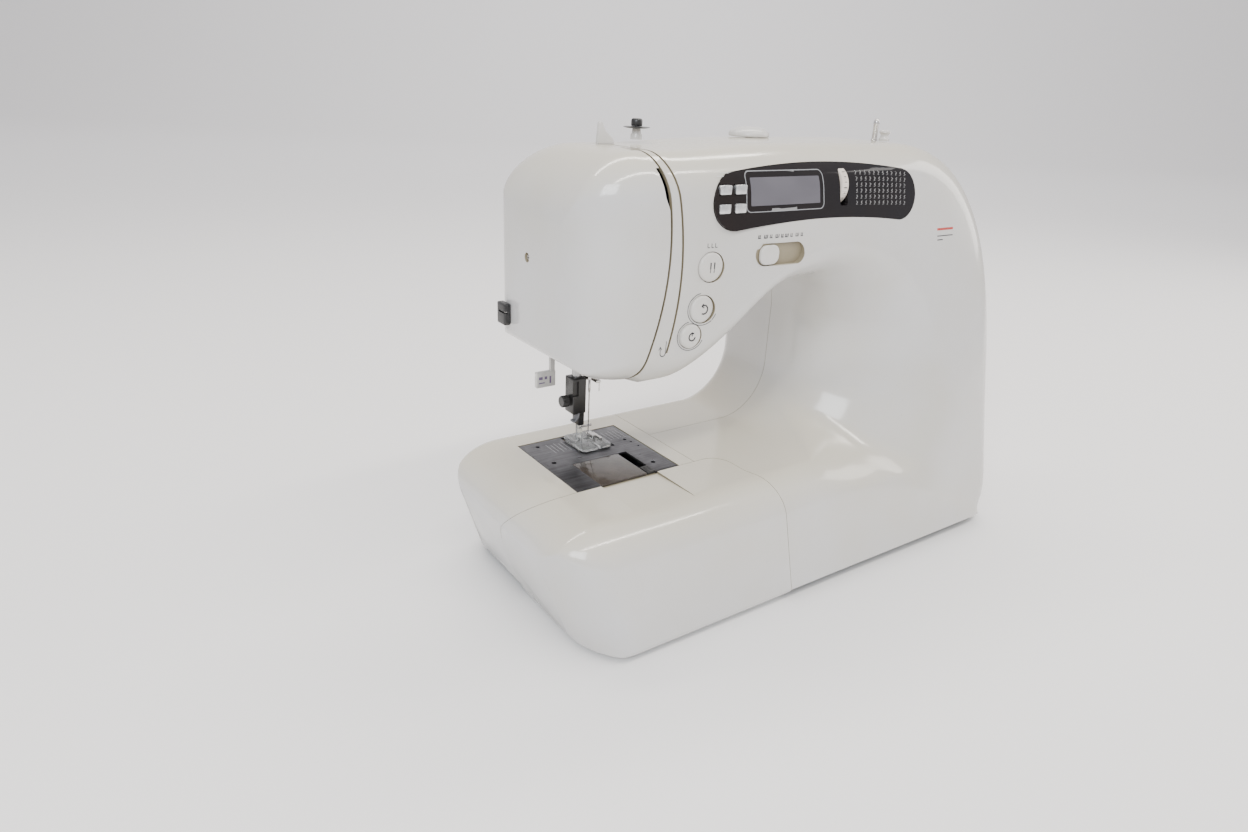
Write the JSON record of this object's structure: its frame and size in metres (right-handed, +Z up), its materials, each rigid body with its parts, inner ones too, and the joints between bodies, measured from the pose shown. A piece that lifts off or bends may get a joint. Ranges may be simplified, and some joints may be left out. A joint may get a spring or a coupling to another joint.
{
  "type": "sewing machine",
  "caption": "Free-arm household sewing machine with a curved pillar, push-button panel, drop-in bobbin and pull-off accessory tray.",
  "frame": {"origin": "middle of the surface that the machine stands on, below the middle of its overall width and depth", "axes": "+Z up, +X along the arm towards the handwheel, +Y towards the back"},
  "size_m": [0.472, 0.204, 0.341],
  "materials": {
    "housing_ivory": "aged glossy moulding",
    "plastic_dark": "fine satin",
    "rubber_dark": "matt",
    "panel_black": "glossy window",
    "button_silver": "satin metallised plastic",
    "steel_plain": "ground",
    "chrome_bright": "plated",
    "plate_steel": "brushed and worn",
    "cover_smoky": "clear smoky acrylic",
    "foot_clear": "clear moulding",
    "frame_cast": "as cast aluminium",
    "belt_rubber": "matt",
    "board_green": "solder mask"
  },
  "bodies": {
    "root": {"front_cover": "housing_ivory", "rear_cover": "housing_ivory", "face_cover": "housing_ivory", "free_arm_cover": "housing_ivory", "base_plate": "plastic_dark", "foot_1": "rubber_dark", "foot_2": "rubber_dark", "foot_3": "rubber_dark", "foot_4": "rubber_dark", "control_panel": "panel_black", "power_inlet": "plastic_dark", "winder_stop": "housing_ivory", "tension_post": "housing_ivory", "tension_disc": "plastic_dark", "tension_screw": "plastic_dark", "thread_fin": "housing_ivory", "main_frame": "frame_cast", "timing_belt": "belt_rubber", "motor": "frame_cast", "thread_cutter": "plastic_dark", "face_screw": "steel_plain", "needle_plate": "plate_steel", "bobbin_case": "plastic_dark", "circuit_board": "board_green"},
    "drive": {"handwheel": "housing_ivory", "main_shaft": "steel_plain", "upper_pulley": "steel_plain", "drive_pulley": "plastic_dark"},
    "lower_drive": {"lower_shaft": "steel_plain", "lower_pulley": "steel_plain"},
    "hook_body": {"hook": "steel_plain"},
    "bobbin_body": {"bobbin": "foot_clear"},
    "motor_rotor": {"motor_pulley": "steel_plain"},
    "needle_bar_body": {"needle_bar": "steel_plain", "needle_clamp": "chrome_bright", "clamp_screw": "chrome_bright", "needle": "chrome_bright"},
    "take_up_body": {"take_up_lever": "chrome_bright"},
    "presser_body": {"presser_bar": "steel_plain", "foot_holder": "plastic_dark", "holder_screw": "plastic_dark"},
    "foot_body": {"presser_foot": "foot_clear"},
    "lifter_body": {"foot_lifter": "housing_ivory"},
    "feed_body": {"feed_dog": "steel_plain"},
    "bobbin_cover_body": {"bobbin_cover": "cover_smoky"},
    "latch_body": {"cover_latch": "plastic_dark"},
    "tray_body": {"accessory_tray": "housing_ivory"},
    "dial_body": {"tension_dial": "housing_ivory"},
    "slider_body": {"speed_slider": "housing_ivory"},
    "needle_stop_body": {"needle_stop_button": "housing_ivory"},
    "reverse_body": {"reverse_button": "housing_ivory"},
    "start_body": {"start_button": "housing_ivory"},
    "switch_body": {"power_switch": "plastic_dark"},
    "spindle_body": {"winder_spindle": "steel_plain"},
    "spool_body": {"spool_pin": "housing_ivory"},
    "buttonhole_body": {"buttonhole_lever": "housing_ivory"},
    "key_1_body": {"panel_button_1": "button_silver"},
    "key_2_body": {"panel_button_2": "button_silver"},
    "key_3_body": {"panel_button_3": "button_silver"},
    "key_4_body": {"panel_button_4": "button_silver"}
  },
  "joints": [
    {"name": "handwheel_turn", "type": "hinge", "parent": "root", "child": "drive", "pos_m": [0, 0.05, 0.268], "axis": [1, 0, 0], "continuous": true},
    {"name": "lower_shaft_turn", "type": "hinge", "parent": "root", "child": "lower_drive", "pos_m": [0, 0.045, 0.052], "axis": [1, 0, 0], "continuous": true},
    {"name": "hook_turn", "type": "hinge", "parent": "root", "child": "hook_body", "pos_m": [-0.139, 0.024, 0.07], "axis": [0, 0, 1], "continuous": true},
    {"name": "bobbin_spin", "type": "hinge", "parent": "root", "child": "bobbin_body", "pos_m": [-0.139, 0.024, 0.075], "axis": [0, 0, 1], "continuous": true},
    {"name": "motor_turn", "type": "hinge", "parent": "root", "child": "motor_rotor", "pos_m": [0.166, 0.018, 0.066], "axis": [1, 0, 0], "continuous": true},
    {"name": "needle_bar_slide", "type": "slide", "parent": "root", "child": "needle_bar_body", "axis": [0, 0, 1], "range_m": [-0.016, 0.016]},
    {"name": "take_up_swing", "type": "hinge", "parent": "root", "child": "take_up_body", "pos_m": [-0.138, 0.026, 0.262], "axis": [-1, 0, 0], "range_deg": [-25, 25]},
    {"name": "presser_lift", "type": "slide", "parent": "root", "child": "presser_body", "axis": [0, 0, 1], "range_m": [0, 0.007]},
    {"name": "presser_foot_tilt", "type": "hinge", "parent": "presser_body", "child": "foot_body", "pos_m": [-0.136, 0.05, 0.104], "axis": [1, 0, 0], "range_deg": [-1.6, 1.6]},
    {"name": "foot_lifter_swing", "type": "hinge", "parent": "root", "child": "lifter_body", "pos_m": [-0.122, 0.078, 0.185], "axis": [1, 0, 0], "range_deg": [0, 42]},
    {"name": "feed_dog_walk", "type": "slide", "parent": "root", "child": "feed_body", "axis": [0, 1, 0], "range_m": [-0.0025, 0.0025]},
    {"name": "bobbin_cover_lift", "type": "slide", "parent": "root", "child": "bobbin_cover_body", "axis": [0, 0, 1], "range_m": [0, 0.02]},
    {"name": "cover_latch_slide", "type": "slide", "parent": "root", "child": "latch_body", "axis": [0, 1, 0], "range_m": [0, 0.003]},
    {"name": "accessory_tray_pull", "type": "slide", "parent": "root", "child": "tray_body", "axis": [-1, 0, 0], "range_m": [0, 0.15]},
    {"name": "tension_dial_turn", "type": "hinge", "parent": "root", "child": "dial_body", "pos_m": [0.016, -0.031, 0.297], "axis": [1, 0, 0], "range_deg": [-150, 150]},
    {"name": "speed_slide", "type": "slide", "parent": "root", "child": "slider_body", "axis": [1, 0, 0], "range_m": [0, 0.022]},
    {"name": "needle_stop_press", "type": "slide", "parent": "root", "child": "needle_stop_body", "axis": [0, 1, 0], "range_m": [0, 0.0015], "stiffness_N_per_m": 900, "springref_m": -0.0005},
    {"name": "reverse_press", "type": "slide", "parent": "root", "child": "reverse_body", "axis": [0, 1, 0], "range_m": [0, 0.0015], "stiffness_N_per_m": 900, "springref_m": -0.0005},
    {"name": "start_press", "type": "slide", "parent": "root", "child": "start_body", "axis": [0, 1, 0], "range_m": [0, 0.0015], "stiffness_N_per_m": 900, "springref_m": -0.0005},
    {"name": "panel_key_1_press", "type": "slide", "parent": "root", "child": "key_1_body", "axis": [0, 1, 0], "range_m": [0, 0.0005], "stiffness_N_per_m": 900, "springref_m": -0.0004},
    {"name": "panel_key_2_press", "type": "slide", "parent": "root", "child": "key_2_body", "axis": [0, 1, 0], "range_m": [0, 0.0005], "stiffness_N_per_m": 900, "springref_m": -0.0004},
    {"name": "panel_key_3_press", "type": "slide", "parent": "root", "child": "key_3_body", "axis": [0, 1, 0], "range_m": [0, 0.0005], "stiffness_N_per_m": 900, "springref_m": -0.0004},
    {"name": "panel_key_4_press", "type": "slide", "parent": "root", "child": "key_4_body", "axis": [0, 1, 0], "range_m": [0, 0.0005], "stiffness_N_per_m": 900, "springref_m": -0.0004},
    {"name": "power_switch_rock", "type": "hinge", "parent": "root", "child": "switch_body", "pos_m": [0.2075, 0.012, 0.062], "axis": [0, 1, 0], "range_deg": [-6, 6]},
    {"name": "winder_spindle_spin", "type": "hinge", "parent": "root", "child": "spindle_body", "pos_m": [0.139, 0.036, 0.3], "axis": [0, 0, 1], "continuous": true},
    {"name": "spool_pin_raise", "type": "slide", "parent": "root", "child": "spool_body", "axis": [0, 0, 1], "range_m": [0, 0.03]},
    {"name": "buttonhole_lever_pull", "type": "slide", "parent": "root", "child": "buttonhole_body", "axis": [0, 0, -1], "range_m": [0, 0.025]}
  ],
  "couplings": [
    {"joint": "lower_shaft_turn", "follows": "handwheel_turn", "ratio": 1},
    {"joint": "hook_turn", "follows": "handwheel_turn", "ratio": -2},
    {"joint": "motor_turn", "follows": "handwheel_turn", "ratio": 2.214},
    {"joint": "take_up_swing", "follows": "needle_bar_slide", "rad_per_m": 27},
    {"joint": "foot_lifter_swing", "follows": "presser_lift", "rad_per_m": 104}
  ]
}
